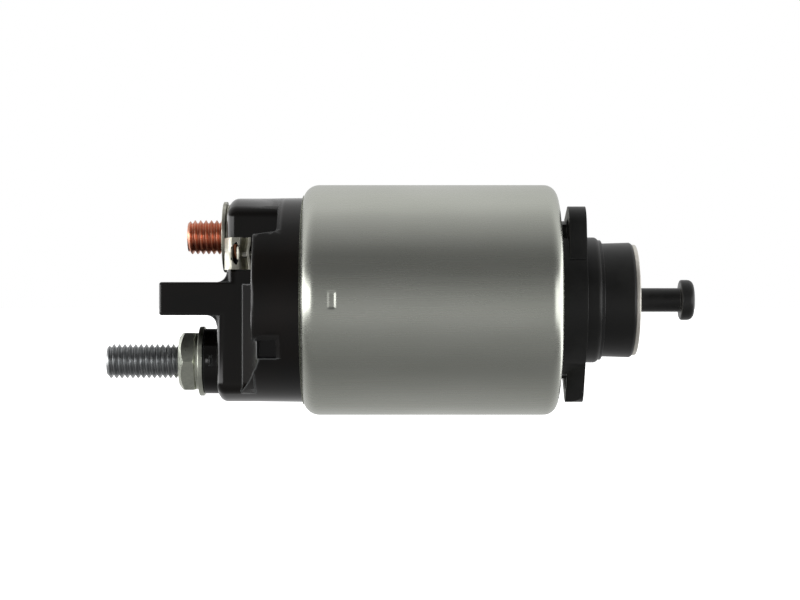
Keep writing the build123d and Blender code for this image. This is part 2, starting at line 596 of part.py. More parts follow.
os.makedirs("parts", exist_ok=True)
for name, piece in PIECES.items():
    export_step(piece, f"parts/{name}.step")
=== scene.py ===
# %% [markdown]
# # A starter solenoid, dressed for its portrait
# A starter solenoid is the fat cylinder that rides on a car's starter motor. Its coil pulls a steel plunger
# in, the plunger drags the shift lever by a mushroom-headed pin, and at the end of the stroke a copper disc
# joins the two big terminals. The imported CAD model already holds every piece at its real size, so this script
# only adds looks. We load that model first: it is the frame that every new piece has to fit.

# %% Load the frame
import json
import math
import bpy
import bmesh
from mathutils import Matrix, Vector


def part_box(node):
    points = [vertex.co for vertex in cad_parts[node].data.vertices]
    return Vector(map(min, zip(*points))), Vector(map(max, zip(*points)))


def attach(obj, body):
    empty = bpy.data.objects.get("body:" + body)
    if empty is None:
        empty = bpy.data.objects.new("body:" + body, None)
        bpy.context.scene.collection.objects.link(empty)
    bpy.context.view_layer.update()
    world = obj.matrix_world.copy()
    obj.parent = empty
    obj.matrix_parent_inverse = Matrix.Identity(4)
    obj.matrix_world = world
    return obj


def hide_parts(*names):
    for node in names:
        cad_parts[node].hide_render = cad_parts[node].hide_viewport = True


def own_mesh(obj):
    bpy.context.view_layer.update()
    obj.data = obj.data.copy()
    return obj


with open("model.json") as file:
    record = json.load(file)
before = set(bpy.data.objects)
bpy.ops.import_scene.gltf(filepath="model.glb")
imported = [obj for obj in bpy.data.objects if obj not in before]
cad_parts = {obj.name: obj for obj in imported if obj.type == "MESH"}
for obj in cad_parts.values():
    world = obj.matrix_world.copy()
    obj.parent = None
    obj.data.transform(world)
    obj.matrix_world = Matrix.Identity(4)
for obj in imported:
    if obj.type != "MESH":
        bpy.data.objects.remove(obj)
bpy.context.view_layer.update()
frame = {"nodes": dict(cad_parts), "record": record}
NODES = frame["nodes"]
MM = 0.001

# %% [markdown]
# ## Reading sizes from the frame
# A new piece must land exactly where its CAD twin is, so sizes are read from the twin's box and not typed
# again. The plunger's axis is the X axis, so for a turned piece the box gives both ends and the radius.

# %% Sizes
def span(node):
    """Both ends along X and the largest radius about the piece's own axis, in millimetres."""
    low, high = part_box(node)
    return low.x / MM, high.x / MM, (high.z - low.z) / 2 / MM


def height(node):
    """Height of a piece's own axis above the plunger's axis, in millimetres."""
    low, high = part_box(node)
    return (low.z + high.z) / 2 / MM


CAN_X0, CAN_X1, CAN_R = span("can")
PLUNGER_X0, PLUNGER_X1, PLUNGER_R = span("plunger")
MOTOR_Z, BATTERY_Z = height("motor_lug"), height("flat_washer")
THREAD_PITCH = 1.25
print(f"can {CAN_X0:.1f} to {CAN_X1:.1f} mm, radius {CAN_R:.2f}; studs at {MOTOR_Z:.1f} and {BATTERY_Z:.1f} mm")

# %% [markdown]
# ## A small kit for turned pieces
# Most of a solenoid is turned or drawn, so its pieces are outlines spun about an axis. The Screw modifier
# could spin them, but a short function keeps control of where the rings lie, which matters for the dimple in
# the can. Corners are rounded in the outline itself: a real edge always catches a line of light, and a
# perfectly sharp one looks fake.

# %% Turned pieces
def rounded(points, steps=5):
    """An outline with its corners rounded: points are (x, r) or (x, r, corner radius)."""
    out = []
    count = len(points)
    for i, point in enumerate(points):
        radius = point[2] if len(point) > 2 else 0
        here = Vector(point[:2])
        if radius <= 0:
            out.append(here)
            continue
        before = (Vector(points[i - 1][:2]) - here).normalized()
        after = (Vector(points[(i + 1) % count][:2]) - here).normalized()
        half = before.angle(after) / 2
        reach = radius / math.tan(half)
        centre = here + (before + after).normalized() * (radius / math.sin(half))
        start = here + before * reach - centre
        turn = start.angle_signed(here + after * reach - centre)
        for k in range(steps + 1):
            spun = Matrix.Rotation(-turn * k / steps, 2) @ start
            out.append(centre + spun)
    return out


# %% Spin an outline
def placed(name, data):
    """A new object in the scene."""
    piece = bpy.data.objects.new(name, data)
    bpy.context.scene.collection.objects.link(piece)
    return piece


def full_turn(count):
    """Evenly spaced angles of one turn."""
    return [2 * math.pi * k / count for k in range(count)]


def bridge(bm, rings):
    """Join every closed ring of points to the next, and the last to the first."""
    for i, ring in enumerate(rings):
        following = rings[(i + 1) % len(rings)]
        for j in range(len(ring)):
            k = (j + 1) % len(ring)
            bm.faces.new((ring[j], following[j], following[k], ring[k]))


def spin(name, outline, angles=None, z=0.0):
    """A solid of revolution about an axis along X at height z, from an outline in millimetres."""
    mesh = bpy.data.meshes.new(name)
    bm = bmesh.new()
    bridge(bm, [[bm.verts.new((p.x * MM, p.y * math.cos(a) * MM, (z + p.y * math.sin(a)) * MM))
                 for p in outline] for a in angles or full_turn(128)])
    bmesh.ops.remove_doubles(bm, verts=bm.verts, dist=1e-7)
    bmesh.ops.dissolve_degenerate(bm, dist=1e-7, edges=bm.edges)
    bmesh.ops.recalc_face_normals(bm, faces=bm.faces)
    bm.to_mesh(mesh)
    bm.free()
    return placed(name, mesh)


# %% Shade and dress a piece
def soften(piece, angle=35):
    """Smooth shading that keeps the edges sharper than the angle, in degrees."""
    piece.data.polygons.foreach_set("use_smooth", [True] * len(piece.data.polygons))
    piece.data.set_sharp_from_angle(angle=math.radians(angle))
    return piece


def dress(piece, body, slot, *stands_for, material=None):
    """Give a finished piece the finish of its slot, or the material given, put it on its body, and hide the CAD
    pieces it stands for.
    """
    piece.data.materials.clear()
    piece.data.materials.append(material or FINISH[slot])
    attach(piece, body)
    if stands_for:
        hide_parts(*stands_for)
    return piece


# %% [markdown]
# ## Materials
# Every finish is a small node tree on Object coordinates, so a pattern stays glued to its piece when it
# moves.

# %% Material kit
def blank(name, color, metallic, roughness):
    """A Principled material, with the constants that every finish sets."""
    material = bpy.data.materials.new(name)
    material.use_nodes = True
    tree = material.node_tree
    shader = tree.nodes["Principled BSDF"]
    shader.inputs["Base Color"].default_value = (*color, 1)
    shader.inputs["Metallic"].default_value = metallic
    shader.inputs["Roughness"].default_value = roughness
    return material, tree, shader


def noise(tree, scale, detail=4.0, stretch=(1, 1, 1)):
    """Noise on the piece's own coordinates, in cycles per metre; stretch draws it out along an axis."""
    place = tree.nodes.new("ShaderNodeTexCoord")
    mapping = tree.nodes.new("ShaderNodeMapping")
    mapping.inputs["Scale"].default_value = stretch
    texture = tree.nodes.new("ShaderNodeTexNoise")
    texture.inputs["Scale"].default_value = scale
    texture.inputs["Detail"].default_value = detail
    texture.inputs["Roughness"].default_value = 0.55
    tree.links.new(place.outputs["Object"], mapping.inputs["Vector"])
    tree.links.new(mapping.outputs["Vector"], texture.inputs["Vector"])
    return texture.outputs["Fac"]


# %% Values and colours
def feed(tree, value, socket):
    """Link a value into a socket, or set it as the socket's constant."""
    if isinstance(value, bpy.types.NodeSocket):
        tree.links.new(value, socket)
    else:
        socket.default_value = value


def calc(tree, operation, a, b=0.0):
    """One math node."""
    node = tree.nodes.new("ShaderNodeMath")
    node.operation = operation
    feed(tree, a, node.inputs[0])
    feed(tree, b, node.inputs[1])
    return node.outputs[0]


def ramp(tree, value, low, high, from_low=0.3, from_high=0.7):
    """Stretch a value onto a new range."""
    node = tree.nodes.new("ShaderNodeMapRange")
    node.inputs["From Min"].default_value = from_low
    node.inputs["From Max"].default_value = from_high
    node.inputs["To Min"].default_value = low
    node.inputs["To Max"].default_value = high
    tree.links.new(value, node.inputs["Value"])
    return node.outputs["Result"]


def blend_colors(tree, value, first, second):
    """Mix two colours by a value; each is three numbers or a node's output."""
    node = tree.nodes.new("ShaderNodeMix")
    node.data_type = "RGBA"
    for label, color in (("A", first), ("B", second)):
        if isinstance(color, bpy.types.NodeSocket):
            tree.links.new(color, node.inputs[label])
        else:
            node.inputs[label].default_value = (*color, 1)
    tree.links.new(value, node.inputs["Factor"])
    return node.outputs["Result"]


# %% Edges and bumps
def edge_rounding(tree, radius_mm):
    """Shading normals that run round the edges, so a sharp mesh edge catches light as a real one does."""
    node = tree.nodes.new("ShaderNodeBevel")
    node.samples = 6
    node.inputs["Radius"].default_value = radius_mm * MM
    return node.outputs["Normal"]


def painted_highlight_mask(tree, radius_mm):
    """Where the painted edge highlights go: 1 on edges, where the rounded normal differs from the true one, and
    0 on open faces.
    """
    open_face, edge = 0.993, 0.93  # how well the two normals agree
    compare = tree.nodes.new("ShaderNodeVectorMath")
    compare.operation = "DOT_PRODUCT"
    tree.links.new(edge_rounding(tree, radius_mm), compare.inputs[0])
    tree.links.new(tree.nodes.new("ShaderNodeNewGeometry").outputs["Normal"], compare.inputs[1])
    return ramp(tree, compare.outputs["Value"], 0, 1, open_face, edge)


def bump(tree, shader, value, depth_mm, below=None):
    """Raise the surface by a pattern; several bumps can be chained."""
    node = tree.nodes.new("ShaderNodeBump")
    node.inputs["Strength"].default_value = 1.0
    node.inputs["Distance"].default_value = depth_mm * MM
    tree.links.new(value, node.inputs["Height"])
    if below is not None:
        tree.links.new(below, node.inputs["Normal"])
    tree.links.new(node.outputs["Normal"], shader.inputs["Normal"])
    return node.outputs["Normal"]


# %% Plated steel of the can
def plated_steel():
    """Satin plating over deep-drawn steel: faint lines along the draw, a mottled sheen and small rub marks."""
    material, tree, shader = blank("plated_can_steel", (0.60, 0.61, 0.575), 1.0, 0.3)
    cloud = noise(tree, 55, 3, (0.5, 1, 1))
    lines = noise(tree, 900, 3, (0.03, 1, 1))
    specks = noise(tree, 5200, 2)
    rounded_edges = edge_rounding(tree, 0.15)
    tint = blend_colors(tree, ramp(tree, cloud, 0, 1), (0.57, 0.585, 0.525), (0.63, 0.64, 0.585))
    tree.links.new(tint, shader.inputs["Base Color"])
    tree.links.new(ramp(tree, lines, 0.26, 0.285), shader.inputs["Roughness"])
    bump(tree, shader, specks, 0.0026, below=rounded_edges)
    shader.inputs["Anisotropic"].default_value = 0.25
    return material


# %% Black finishes
def black_coating(name, color, rough_low, rough_high):
    """Thin black coating on steel, with the grain of the blasted metal, paler patches and a painted highlight
    along the edges.
    """
    material, tree, shader = blank(name, color, 0.0, rough_low)
    grain = noise(tree, 2600, 4)
    cloud = noise(tree, 120, 4)
    pale = tuple(c * 1.9 + 0.006 for c in color)
    tint = blend_colors(tree, ramp(tree, cloud, 0, 1, 0.45, 0.8), color, pale)
    # painted highlight: the edges are mixed towards pale grey, so they look lit under any light
    painted_edge_highlight = blend_colors(tree, painted_highlight_mask(tree, 0.2), tint, (0.05, 0.05, 0.048))
    tree.links.new(painted_edge_highlight, shader.inputs["Base Color"])
    tree.links.new(ramp(tree, cloud, rough_low, rough_high), shader.inputs["Roughness"])
    bump(tree, shader, grain, 0.004, below=edge_rounding(tree, 0.3))
    shader.inputs["Specular IOR Level"].default_value = 0.42
    return material


# %% Moulded plastic
def phenolic():
    """Glossy black moulding compound: a slight wave, brownish patches, fine dust in the gloss, and a painted
    highlight along the edges.
    """
    material, tree, shader = blank("black_phenolic", (0.012, 0.0115, 0.011), 0.0, 0.2)
    wave = noise(tree, 150, 2)
    patch = noise(tree, 70, 2)
    dust = noise(tree, 9000, 3)
    black, brown = (0.0032, 0.0028, 0.0022), (0.0068, 0.0046, 0.0034)
    tint = blend_colors(tree, ramp(tree, patch, 0, 1, 0.4, 0.65), black, brown)
    # painted highlight: the edges are mixed towards pale grey, so they look lit under any light
    painted_edge_gloss = blend_colors(tree, painted_highlight_mask(tree, 0.6), tint, (0.13, 0.135, 0.135))
    tree.links.new(painted_edge_gloss, shader.inputs["Base Color"])
    tree.links.new(ramp(tree, dust, 0.09, 0.18), shader.inputs["Roughness"])
    soft = bump(tree, shader, wave, 0.015, below=edge_rounding(tree, 0.45))
    bump(tree, shader, dust, 0.0006, below=soft)
    shader.inputs["Specular IOR Level"].default_value = 0.38
    return material


# %% Bright metals
def bright_metal(name, color, second, rough_low, rough_high, lines=None, grain=0.003):
    """A bare or plated metal with a mottled sheen, and tool lines where it was turned."""
    material, tree, shader = blank(name, color, 1.0, rough_low)
    cloud = noise(tree, 700, 4)
    tint = blend_colors(tree, ramp(tree, cloud, 0, 1), color, second)
    tree.links.new(tint, shader.inputs["Base Color"])
    tree.links.new(ramp(tree, cloud, rough_low, rough_high), shader.inputs["Roughness"])
    rough = bump(tree, shader, noise(tree, 3800, 3), grain, below=edge_rounding(tree, 0.12))
    if lines:
        bump(tree, shader, noise(tree, 2500, 2, lines), grain, below=rough)
    return material


# %% Soft and fibrous finishes
def dull(name, color, second, roughness, grain_scale, grain_mm):
    """Rubber, film, moulded nylon and fibre: no metal, a broken colour and a visible grain."""
    material, tree, shader = blank(name, color, 0.0, roughness)
    grain = noise(tree, grain_scale, 4)
    tint = blend_colors(tree, ramp(tree, grain, 0, 1), color, second)
    tree.links.new(tint, shader.inputs["Base Color"])
    tree.links.new(ramp(tree, grain, roughness * 0.85, min(1, roughness * 1.15)), shader.inputs["Roughness"])
    bump(tree, shader, grain, grain_mm)
    return material


# %% A coat over part of a metal
def coat_past(material, x_mm, color, metallic):
    """Coat a metal from a place along the axis onwards, with a crisp edge."""
    tree = material.node_tree
    shader = tree.nodes["Principled BSDF"]
    place = tree.nodes.new("ShaderNodeSeparateXYZ")
    tree.links.new(tree.nodes.new("ShaderNodeTexCoord").outputs["Object"], place.inputs[0])
    coated = ramp(tree, place.outputs[0], 0, 1, (x_mm - 0.1) * MM, (x_mm + 0.1) * MM)
    bare = shader.inputs["Base Color"].links[0].from_socket
    tree.links.new(blend_colors(tree, coated, bare, color), shader.inputs["Base Color"])
    tree.links.new(ramp(tree, coated, 1, metallic, 0, 1), shader.inputs["Metallic"])
    return material


# %% The finishes
ALONG_X = (1, 0.03, 0.03)  # squeezes a noise into rings across the axis
FINISH = {
    "plated_can": plated_steel(),
    "black_steel": black_coating("black_coated_steel", (0.0085, 0.0085, 0.008), 0.3, 0.44),
    "black_plunger": black_coating("black_coated_plunger", (0.0095, 0.0095, 0.009), 0.3, 0.42),
    "black_pin": black_coating("black_oxide_pin", (0.011, 0.011, 0.0105), 0.25, 0.4),
    "black_phenolic": phenolic(),
    "pale_retainer": bright_metal("bright_retainer", (0.90, 0.87, 0.80), (0.80, 0.77, 0.70), 0.4, 0.55),
    "zinc_steel": bright_metal("zinc_plating", (0.47, 0.48, 0.485), (0.29, 0.30, 0.305), 0.25, 0.38),
    "nut_plating": bright_metal("nut_plating", (0.70, 0.72, 0.62), (0.52, 0.54, 0.47), 0.26, 0.42),
    "tinned_steel": bright_metal("tin_plating", (0.56, 0.55, 0.48), (0.36, 0.35, 0.29), 0.26, 0.5, grain=0.008),
    "copper": bright_metal("bright_copper", (0.86, 0.42, 0.29), (0.66, 0.26, 0.16), 0.24, 0.4),
    "copper_winding": bright_metal("enamelled_copper", (0.48, 0.20, 0.08), (0.30, 0.11, 0.04), 0.25, 0.4),
    "brass_liner": bright_metal("drawn_brass", (0.72, 0.54, 0.26), (0.60, 0.43, 0.2), 0.25, 0.4, lines=ALONG_X),
    "core_iron": bright_metal("turned_iron", (0.42, 0.42, 0.42), (0.30, 0.30, 0.31), 0.35, 0.5, lines=ALONG_X),
    "spring_steel": bright_metal("spring_wire", (0.40, 0.40, 0.41), (0.27, 0.27, 0.28), 0.25, 0.4),
    "rubber_seal": dull("moulded_rubber", (0.018, 0.018, 0.018), (0.03, 0.03, 0.03), 0.7, 2400, 0.01),
    "bobbin_plastic": dull("moulded_nylon", (0.05, 0.055, 0.06), (0.07, 0.075, 0.08), 0.5, 900, 0.01),
    "wrap_film": dull("wrap_film", (0.62, 0.58, 0.36), (0.72, 0.68, 0.46), 0.35, 300, 0.02),
    "insulator_fibre": dull("laminated_fibre", (0.30, 0.13, 0.06), (0.40, 0.19, 0.09), 0.65, 1800, 0.01),
}
# the flange's black coat runs over the liner's end, and the coil's wire is dipped in solder up to its cut end
coat_past(FINISH["brass_liner"], 3.3, (0.012, 0.012, 0.012), 0)
DIPPED_WIRE = coat_past(bright_metal("dipped_wire", (0.60, 0.26, 0.14), (0.34, 0.13, 0.07), 0.25, 0.4), -77.5,
                        (0.42, 0.41, 0.36), 1)
print("finishes:", len(FINISH) + 1)

# %% [markdown]
# ## The can
# The real can is a deep-drawn steel cup: the bottom corner has the die's radius and the mouth is rolled in
# over the cap. It follows a rule, one outline spun round, so it is spun here with its rings packed closer
# where the stake is. The stake is a small pocket punched through the plating to lock the plate behind the
# coil, so we press those vertices in instead of cutting a hole.

# %% The can
def can_angles():
    """Angles of the can's outline: fine on the staked side, wider elsewhere."""
    fine = [math.pi + math.radians(a * 0.5) for a in range(-12, 13)]
    step = 2 * math.pi / 144
    coarse = [k * step for k in range(144) if abs(k * step - math.pi) > math.radians(6) + step / 3]
    return sorted(fine + coarse)


def pressed(offset, half, edge):
    """1 well inside a pocket of the given half width, 0 outside it, with a soft wall between."""
    t = min(1.0, max(0.0, (half + edge / 2 - abs(offset)) / edge))
    return t * t * (3 - 2 * t)


# %% Build the can
STAKE_X, STAKE_DEPTH = -56.7, 0.2


def build_can():
    """Outside corner radii as drawn, a rolled lip, and a straight bore behind the flange."""
    low, high = CAN_X0, CAN_X1
    wall, lip_r = 2.5, 23.62
    outline = rounded([
        (high - wall, 15.0), (high, 15.0, 0.3), (high, CAN_R, 3.0), (low - 0.09, CAN_R, 3.7),
        (low - 0.09, lip_r, 0.5), (low + 1.5, lip_r), (low + 3.6, 25.0), (low + 10.9, 25.0), (low + 10.9, 24.0),
        (high - wall, 24.0, 1.0),
    ], 10)
    stake_x = [-58.6 + 0.15 * k for k in range(26)]
    dense = []
    for i, point in enumerate(outline):
        following = outline[(i + 1) % len(outline)]
        dense.append(point)
        if abs(point.y - CAN_R) < 1e-4 and abs(following.y - CAN_R) < 1e-4 and abs(following.x - point.x) > 30:
            dense += [Vector((x, CAN_R)) for x in sorted(stake_x, reverse=following.x < point.x)]
    can = spin("can_shell", dense, can_angles())
    for vertex in can.data.vertices:
        x, y, z = (c / MM for c in vertex.co)
        if y < 0 and math.hypot(y, z) > CAN_R - 0.01:
            vertex.co.y += STAKE_DEPTH * MM * pressed(x - STAKE_X, 0.75, 0.9) * pressed(z, 1.8, 0.5)
    return soften(can, 40)


can = dress(build_can(), "housing", "plated_can", "can")
print("can:", len(can.data.polygons), "faces")

# %% [markdown]
# ## The moulded cap and the forged flange
# The cap has the most intricate shape of all: bar, barrier, boss, step, slope and pocket. The flange has
# ears, a ground flank and a rounded collar. Their CAD models are exact and finely faceted, so each is copied
# here. A CAD mesh is loose triangles, so its doubles are merged and its flat areas dissolved before it can be
# shaded smoothly. The finish itself carries the light round the edges that a mould or a blasting wheel leaves,
# and it also paints a pale highlight along them.

# %% Copies of exact shapes
def smooth_copy(node, name, angle):
    """A merged copy of a CAD piece, smooth except at edges sharper than the angle."""
    mesh = NODES[node].data.copy()
    mesh.name = name
    bm = bmesh.new()
    bm.from_mesh(mesh)
    bmesh.ops.remove_doubles(bm, verts=bm.verts, dist=2e-6)
    bmesh.ops.dissolve_limit(bm, angle_limit=math.radians(0.1), verts=bm.verts, edges=bm.edges)
    bm.to_mesh(mesh)
    bm.free()
    piece = soften(placed(name, mesh), angle)
    weighted = piece.modifiers.new("flat faces stay flat", "WEIGHTED_NORMAL")
    weighted.keep_sharp = True
    return piece


# %% Cap and flange
cap = dress(smooth_copy("terminal_cap", "moulded_cap", 24), "housing", "black_phenolic",
            "terminal_cap")
flange = dress(smooth_copy("mounting_flange", "forged_flange", 18), "housing", "black_steel",
               "mounting_flange")
print("cap:", len(cap.data.polygons), "faces, flange:", len(flange.data.polygons), "faces")

# %% [markdown]
# ## Flat pieces with holes
# A filled 2D curve with a bevel is the quickest way to a plate with holes and evenly rounded edges. It is
# turned into a mesh and stood up across the X axis. Contact heads, the tab's seat and the spade terminal all
# come from it.

# %% Points and plain meshes
def polar(radius, degrees):
    """A point across the axis: (y, z) at an angle from +Y towards +Z."""
    return Vector((radius * math.cos(math.radians(degrees)), radius * math.sin(math.radians(degrees))))


def evaluated(piece):
    """The plain mesh that a curve or a piece's modifiers make."""
    graph = bpy.context.evaluated_depsgraph_get()
    return bpy.data.meshes.new_from_object(piece.evaluated_get(graph))


# %% A plate from outlines
def plate_from_outlines(name, outlines, x0, x1, edge=0.25):
    """A flat plate across the X axis with rounded edges; the first outline is its rim, the others are holes."""
    curve = bpy.data.curves.new(name, "CURVE")
    curve.dimensions = "2D"
    curve.fill_mode = "BOTH"
    curve.extrude = (x1 - x0) / 2 * MM - edge * MM
    curve.bevel_depth = edge * MM
    curve.offset = -edge * MM
    curve.bevel_resolution = 2
    for outline in outlines:
        spline = curve.splines.new("POLY")
        spline.points.add(len(outline) - 1)
        for knot, (y, z) in zip(spline.points, outline):
            knot.co = (y * MM, z * MM, 0, 1)
        spline.use_cyclic_u = True
    flat = placed(name, curve)
    mesh = evaluated(flat)
    bpy.data.objects.remove(flat)
    # the curve's X and Y become the frame's Y and Z, and its thickness runs along X
    mesh.transform(Matrix(((0, 0, 1, (x0 + x1) / 2 * MM), (1, 0, 0, 0), (0, 1, 0, 0), (0, 0, 0, 1))))
    bm = bmesh.new()
    bm.from_mesh(mesh)
    bmesh.ops.remove_doubles(bm, verts=bm.verts, dist=1e-6)
    bmesh.ops.recalc_face_normals(bm, faces=bm.faces)
    bm.to_mesh(mesh)
    bm.free()
    return placed(name, mesh)


# %% Circles and joining
def circle(radius, count, z):
    """Points of a circle across the axis, its centre at height z."""
    return [Vector((0, z)) + polar(radius, 360 * k / count) for k in range(count)]


def join(first, *others):
    """Join meshes into the first one."""
    for piece in others:
        bm = bmesh.new()
        bm.from_mesh(first.data)
        bm.from_mesh(piece.data)
        bm.to_mesh(first.data)
        bm.free()
        bpy.data.objects.remove(piece)
    return first


# %% [markdown]
# ## Plunger, retainer, liner and hook pin
# These are all lathe work. The plunger's black nose stands out of the collar, a pale pressed disc closes its
# spring chamber, and the hook pin comes through the disc. The nose is relieved a little behind its rim, so it
# slides freely.

# %% Plunger group
def build_plunger():
    """Hollow at both ends; the nose is ground a little thinner behind its crisp rim."""
    return soften(spin("plunger_body", rounded([
        (PLUNGER_X0, 8.4, 0.3), (PLUNGER_X0, PLUNGER_R, 0.6), (2.0, PLUNGER_R, 3.0),
        (5.0, PLUNGER_R - 0.17, 3.0), (PLUNGER_X1 - 0.5, PLUNGER_R, 0.15),
        (PLUNGER_X1, PLUNGER_R - 0.3, 0.15), (PLUNGER_X1, 8.8),
        (-14.0, 8.8), (-14.0, 0), (-18.0, 0), (-18.0, 8.4),
    ])), 30)


# %% Retainer
def build_retainer():
    """Pressed disc with a shallow ring groove."""
    x0, x1, radius = span("plunger_retainer")
    return soften(spin("retainer_disc", rounded([
        (x0, 2.85), (x0, 8.78, 0.2), (x0 + 1.02, 8.78), (x0 + 1.02, radius, 0.15), (x1, radius, 0.3),
        (x1, 9.4, 0.2), (x1 - 0.25, 9.1, 0.2), (x1 - 0.25, 6.2, 0.2), (x1, 5.9, 0.2), (x1, 2.85, 0.15),
    ], 3)), 30)


# %% Hook pin
def build_pin():
    """Shank, mushroom head with a domed end, and the foot inside the plunger."""
    x0, x1, foot_r = span("hook_pin")
    return soften(spin("hook_pin_turned", rounded([
        (x0, 0), (x0, foot_r, 0.4), (x0 + 2.5, foot_r, 0.4), (x0 + 2.5, 2.75, 0.3), (x1 - 3.2, 2.75, 0.3),
        (x1 - 3.2, 4.64, 0.5), (x1 - 0.15, 4.64, 1.4), (x1, 2.2, 1.5), (x1, 0),
    ], 5), full_turn(96)), 40)


# %% Liner, and everything in its place
liner_x0, liner_x1, liner_r = span("guide_sleeve")
liner = soften(spin("liner_tube", rounded([
    (liner_x0, 13.3), (liner_x0, liner_r), (liner_x1, liner_r, 0.15), (liner_x1, 13.3, 0.15),
], 3)), 30)
dress(liner, "housing", "brass_liner", "guide_sleeve")
dress(build_plunger(), "plunger", "black_plunger", "plunger")
dress(build_retainer(), "plunger", "pale_retainer", "plunger_retainer")
dress(build_pin(), "hook_pin", "black_pin", "hook_pin")
print("plunger nose stands out to", round(PLUNGER_X1, 1), "mm")

# %% [markdown]
# ## Threads by Geometry Nodes
# A screw thread is one rule: walk round the axis and climb one pitch a turn. A sheared grid does that
# exactly. Its columns are angles and its rows follow the helix, so the sharp crest never falls between two
# rows. The tree wraps the grid round the X axis, lowers each point by the thread's V profile, trims both ends
# flat and cuts the lead-in chamfer. The same tree with other numbers makes both studs.

# %% Node helpers
class Tree:
    """A geometry node tree with named inputs and short calls for its maths."""

    def __init__(self, name, inputs):
        self.group = bpy.data.node_groups.new(name, "GeometryNodeTree")
        self.group.interface.new_socket("Geometry", in_out="OUTPUT", socket_type="NodeSocketGeometry")
        for label, kind in inputs.items():
            self.group.interface.new_socket(label, in_out="INPUT", socket_type=kind)
        self.source = self.group.nodes.new("NodeGroupInput")

    def given(self, label):
        """The tree's input of that name."""
        return self.source.outputs[label]

    def add(self, kind, **sockets):
        """A node with some of its inputs set; spaces in socket names are written as underscores."""
        node = self.group.nodes.new(kind)
        for label, value in sockets.items():
            feed(self.group, value, node.inputs[label.replace("_", " ")])
        return node

    def math(self, operation, a, b=0.0):
        """One math node."""
        return calc(self.group, operation, a, b)

    def finish(self, geometry):
        """Realize, set the material, and end the tree."""
        real = self.add("GeometryNodeRealizeInstances", Geometry=geometry)
        painted = self.add("GeometryNodeSetMaterial", Geometry=real.outputs[0], Material=self.given("Material"))
        smooth = self.add("GeometryNodeSetShadeSmooth", Geometry=painted.outputs[0])
        end = self.group.nodes.new("NodeGroupOutput")
        self.group.links.new(smooth.outputs[0], end.inputs[0])
        return self.group


# %% Run a tree
def grow(name, group, **values):
    """Run a tree with these inputs and keep the plain mesh that it makes."""
    holder = placed(name, bpy.data.meshes.new(name))
    modifier = holder.modifiers.new("grow", "NODES")
    modifier.node_group = group
    for item in group.interface.items_tree:
        if item.in_out == "INPUT" and item.name.replace(" ", "_") in values:
            modifier[item.identifier] = values[item.name.replace(" ", "_")]
    mesh = evaluated(holder)
    holder.modifiers.clear()
    holder.data = mesh
    return holder


# %% The thread's tree
CREST, FLANK = 0.1, 0.75  # shares of half a pitch


def thread_tree():
    """A V thread about the X axis; its lengths are in metres."""
    tree = Tree("screw_thread", {
        "Tip X": "NodeSocketFloat", "Root X": "NodeSocketFloat", "Radius": "NodeSocketFloat",
        "Pitch": "NodeSocketFloat", "Depth": "NodeSocketFloat", "Chamfer": "NodeSocketFloat",
        "Rows": "NodeSocketInt", "Rows per turn": "NodeSocketInt", "Columns": "NodeSocketInt",
        "Material": "NodeSocketMaterial",
    })
    tip, root, full, pitch = map(tree.given, ("Tip X", "Root X", "Radius", "Pitch"))
    depth, chamfer, rows, per_turn = map(tree.given, ("Depth", "Chamfer", "Rows", "Rows per turn"))
    grid = tree.add("GeometryNodeMeshGrid", Size_X=1.0, Size_Y=1.0, Vertices_X=tree.given("Columns"),
                    Vertices_Y=rows)
    place = tree.add("ShaderNodeSeparateXYZ", Vector=tree.add("GeometryNodeInputPosition").outputs[0])
    around = tree.math("ADD", place.outputs[0], 0.5)
    row = tree.math("MULTIPLY", tree.math("ADD", place.outputs[1], 0.5), tree.math("SUBTRACT", rows, 1.0))
    climb = tree.math("MULTIPLY", pitch, around)
    start = tree.math("SUBTRACT", tip, tree.math("MULTIPLY", pitch, 2.0))
    step = tree.math("DIVIDE", pitch, per_turn)
    raw = tree.math("ADD", tree.math("ADD", start, climb), tree.math("MULTIPLY", row, step))
    along = tree.math("MINIMUM", tree.math("MAXIMUM", raw, tip), root)
    phase = tree.math("FRACT", tree.math("DIVIDE", tree.math("SUBTRACT", along, climb), pitch))
    valley = tree.math("ABSOLUTE", tree.math("SUBTRACT", tree.math("MULTIPLY", phase, 2.0), 1.0))
    shaped = tree.math("DIVIDE", tree.math("SUBTRACT", valley, CREST), FLANK)
    shaped = tree.math("MINIMUM", tree.math("MAXIMUM", shaped, 0.0), 1.0)
    radius = tree.math("SUBTRACT", full, tree.math("MULTIPLY", shaped, depth))
    lead = tree.math("ADD", tree.math("SUBTRACT", full, chamfer), tree.math("SUBTRACT", along, tip))
    radius = tree.math("MINIMUM", radius, lead)
    last = tree.math("SUBTRACT", rows, 1.5)
    inside = tree.math("MULTIPLY", tree.math("GREATER_THAN", row, 0.5), tree.math("LESS_THAN", row, last))
    radius = tree.math("MULTIPLY", radius, inside)
    angle = tree.math("MULTIPLY", around, 2 * math.pi)
    moved = tree.add("ShaderNodeCombineXYZ", X=along,
                     Y=tree.math("MULTIPLY", radius, tree.math("COSINE", angle)),
                     Z=tree.math("MULTIPLY", radius, tree.math("SINE", angle)))
    shaped_grid = tree.add("GeometryNodeSetPosition", Geometry=grid.outputs[0], Position=moved.outputs[0])
    welded = tree.add("GeometryNodeMergeByDistance", Geometry=shaped_grid.outputs[0], Distance=2e-6)
    return tree.finish(welded.outputs[0])


THREAD = thread_tree()


